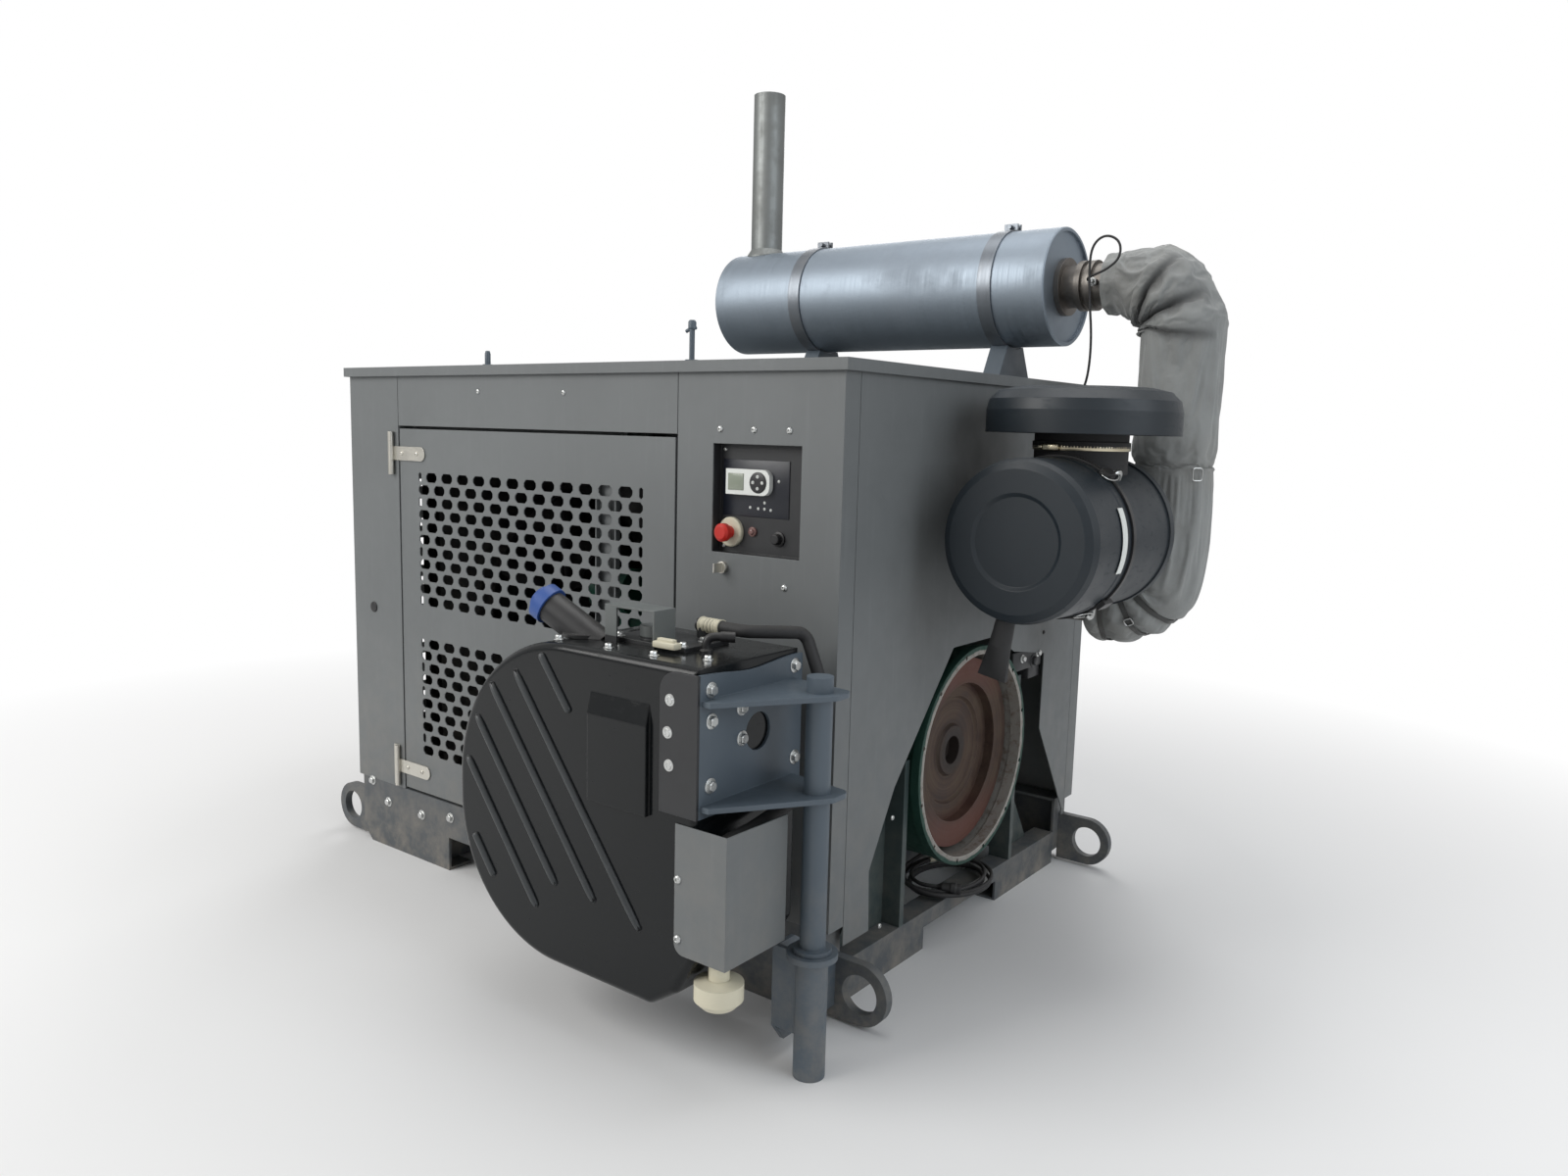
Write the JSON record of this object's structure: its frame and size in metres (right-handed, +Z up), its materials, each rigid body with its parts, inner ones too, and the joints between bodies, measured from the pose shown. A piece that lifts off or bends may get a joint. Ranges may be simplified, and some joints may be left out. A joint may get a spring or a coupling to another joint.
{
  "type": "diesel power unit",
  "caption": "Enclosed diesel power unit on a lifting skid: hinged grille door, roof muffler with insulated elbow, outside air cleaner, open flywheel end and a swing-out fluid tank.",
  "frame": {"origin": "on the ground at the middle of the skid, on the underside of its middle cross member", "axes": "+X towards the drive end with the flywheel, -Y towards the service door, +Z up"},
  "size_m": [2.323, 1.682, 2.25],
  "materials": {
    "enclosure_paint": "satin",
    "frame_paint": "satin",
    "stainless": "brushed",
    "black_plastic": "matte",
    "gloss_black": "gloss",
    "black_paint": "satin",
    "display": "matte",
    "red_plastic": "gloss",
    "blue_plastic": "satin",
    "white_plastic": "satin",
    "silver_paint": "satin",
    "band_steel": "satin",
    "pipe_steel": "brushed",
    "jacket_fabric": "woven",
    "rubber": "matte",
    "housing_iron": "bare",
    "flywheel_iron": "rusty",
    "engine_green": "satin",
    "radiator_black": "matte"
  },
  "bodies": {
    "unit": {"skid_rail_door_side": "frame_paint", "skid_rail_back_side": "frame_paint", "skid_end_beams": "frame_paint", "skid_cross_members": "frame_paint", "lifting_lug_near_drive": "frame_paint", "lifting_lug_far_drive": "frame_paint", "lifting_lug_near_radiator": "frame_paint", "lifting_lug_far_radiator": "frame_paint", "enclosure_posts": "enclosure_paint", "left_side_panel": "enclosure_paint", "door_header": "enclosure_paint", "control_side_panel": "enclosure_paint", "door_hinge_leaves": "stainless", "control_panel": "black_paint", "control_display": "display", "stop_button": "red_plastic", "key_switch": "stainless", "drive_end_wall": "enclosure_paint", "radiator_end_wall": "enclosure_paint", "radiator_louvres": "enclosure_paint", "radiator_core": "radiator_black", "roof_lid": "enclosure_paint", "back_panels": "enclosure_paint", "back_service_panel": "enclosure_paint", "flywheel_housing": "housing_iron", "flywheel": "flywheel_iron", "engine_block": "engine_green", "engine_accessories": "engine_green", "cooling_fan": "black_plastic", "engine_supports": "frame_paint", "muffler_body": "silver_paint", "muffler_bands": "band_steel", "muffler_saddles": "frame_paint", "exhaust_stack": "silver_paint", "exhaust_pipe": "pipe_steel", "insulated_elbow": "jacket_fabric", "air_cleaner_cover": "black_plastic", "air_cleaner_body": "black_plastic", "air_cleaner_clamp": "band_steel", "air_cleaner_mount": "black_paint", "intake_neck": "rubber", "rain_cap": "black_plastic", "dust_valve": "rubber", "pole_socket": "frame_paint", "sensor_lead": "rubber", "cable_coil": "rubber", "cable_lead": "rubber"},
    "door": {"service_door": "enclosure_paint", "door_hinge_straps": "stainless"},
    "tank_arm": {"swing_pole": "frame_paint", "tank_bracket": "frame_paint", "fluid_tank": "gloss_black", "tank_side_plate": "black_paint", "filler_neck": "black_plastic", "filler_cap": "blue_plastic", "tank_header": "frame_paint", "tank_hose": "rubber", "pump_cover": "enclosure_paint", "filter_bowl": "white_plastic"}
  },
  "joints": [
    {"name": "tank_swing", "type": "hinge", "parent": "unit", "child": "tank_arm", "pos_m": [0.95, -0.815, 0.5], "axis": [0, 0, 1], "range_deg": [0, 150]},
    {"name": "door_hinge", "type": "hinge", "parent": "unit", "child": "door", "pos_m": [-0.655, -0.638, 0.7], "axis": [0, 0, -1], "range_deg": [0, 90]}
  ],
  "couplings": [
    {"joint": "door_hinge", "follows": "tank_swing", "ratio": 0.6}
  ]
}
